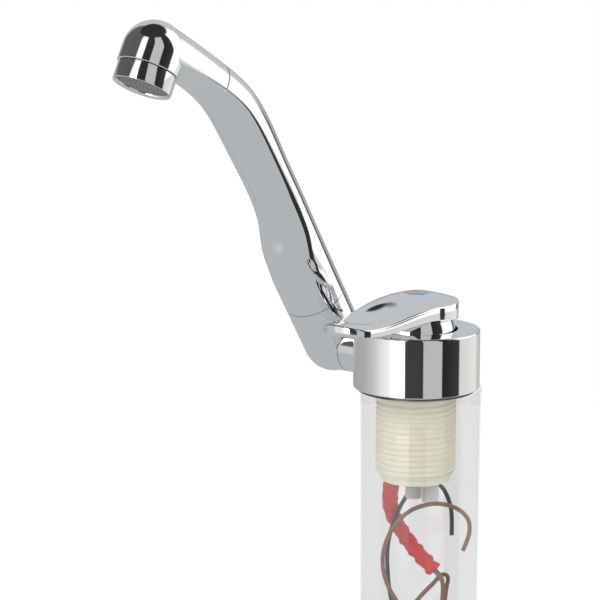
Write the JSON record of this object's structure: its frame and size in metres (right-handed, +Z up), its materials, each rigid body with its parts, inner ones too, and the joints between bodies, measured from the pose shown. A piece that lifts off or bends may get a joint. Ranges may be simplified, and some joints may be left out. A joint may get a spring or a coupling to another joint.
{
  "type": "folding mixer tap",
  "caption": "Small single-lever mixer tap with a swivelling chrome ring, a side-mounted folding spout and a threaded plastic shank with switch leads",
  "frame": {"origin": "centre of the tap's swivel axis in the plane of the worktop's surface, where the gasket rests", "axes": "+Z up along the swivel axis, -Y the way the lever and the spout point, -X the side that the spout stands on"},
  "size_m": [0.0838, 0.1482, 0.2657],
  "materials": {
    "chrome": "polished chrome plating",
    "steel": "plain stainless steel",
    "brass": "turned brass",
    "ceramic": "lapped ceramic",
    "rubber": "black sealing rubber",
    "ivory_plastic": "moulded ivory plastic",
    "white_plastic": "moulded white plastic",
    "black_plastic": "moulded black plastic",
    "indicator": "gloss disc, one half red and one half blue",
    "milky_plastic": "milky flexible plastic",
    "red_sleeve": "shrunk red plastic sleeving",
    "brown_insulation": "brown lead insulation",
    "black_insulation": "black lead insulation",
    "clear_plastic": "thin clear plastic tube, slightly milky"
  },
  "bodies": {
    "base": {"base_gasket": "rubber", "shank_body": "ivory_plastic", "slide_washer": "white_plastic", "swivel_seals": "rubber", "cartridge_seal": "rubber", "fixed_disc": "ceramic", "cartridge_housing": "white_plastic", "cartridge_nut": "brass", "microswitch": "black_plastic", "brown_lead_inner": "brown_insulation", "black_lead_inner": "black_insulation", "red_sleeve": "red_sleeve", "brown_lead": "brown_insulation", "black_lead": "black_insulation", "hot_tail": "milky_plastic", "cold_tail": "milky_plastic"},
    "ring": {"body_ring": "chrome", "spigot_retaining_pins": "steel"},
    "spout": {"spout_spigot": "brass", "spigot_seals": "rubber", "spout_elbow": "chrome", "spout_tube": "chrome", "spout_head": "chrome", "spout_underside_cover": "chrome", "water_tube": "white_plastic", "aerator_housing": "chrome", "aerator_screen": "steel", "flow_straightener": "white_plastic", "aerator_washer": "rubber"},
    "lever_guide": {"lever_guide": "white_plastic", "lever_pivot_pin": "steel"},
    "lever": {"lever": "chrome", "lever_stem": "steel", "lever_screw": "steel", "indicator_plug": "indicator"},
    "disc_carrier": {"disc_carrier": "white_plastic", "moving_disc": "ceramic"},
    "plunger": {"switch_plunger": "black_plastic"},
    "sleeve": {"clear_sleeve": "clear_plastic"}
  },
  "joints": [
    {"name": "ring_swivel", "type": "hinge", "parent": "base", "child": "ring", "pos_m": [0, 0, 0.013], "axis": [0, 0, 1], "range_deg": [-150, 0]},
    {"name": "spout_fold", "type": "hinge", "parent": "ring", "child": "spout", "pos_m": [0, 0, 0.013], "axis": [1, 0, 0], "range_deg": [0, 45]},
    {"name": "lever_turn", "type": "hinge", "parent": "base", "child": "lever_guide", "pos_m": [0, 0, 0.024], "axis": [0, 0, 1], "range_deg": [-30, 30]},
    {"name": "lever_lift", "type": "hinge", "parent": "lever_guide", "child": "lever", "pos_m": [0, 0, 0.024], "axis": [-1, 0, 0], "range_deg": [0, 12]},
    {"name": "disc_slide", "type": "slide", "parent": "lever_guide", "child": "disc_carrier", "axis": [0, -1, 0], "range_m": [0, 0.0021]},
    {"name": "switch_travel", "type": "slide", "parent": "base", "child": "plunger", "axis": [0, 0, 1], "range_m": [0, 0.0009]},
    {"name": "sleeve_slide", "type": "slide", "parent": "base", "child": "sleeve", "axis": [0, 0, -1], "range_m": [0, 0.06]}
  ],
  "couplings": [
    {"joint": "disc_slide", "follows": "lever_lift", "m_per_rad": 0.01},
    {"joint": "switch_travel", "follows": "lever_lift", "m_per_rad": 0.004}
  ]
}
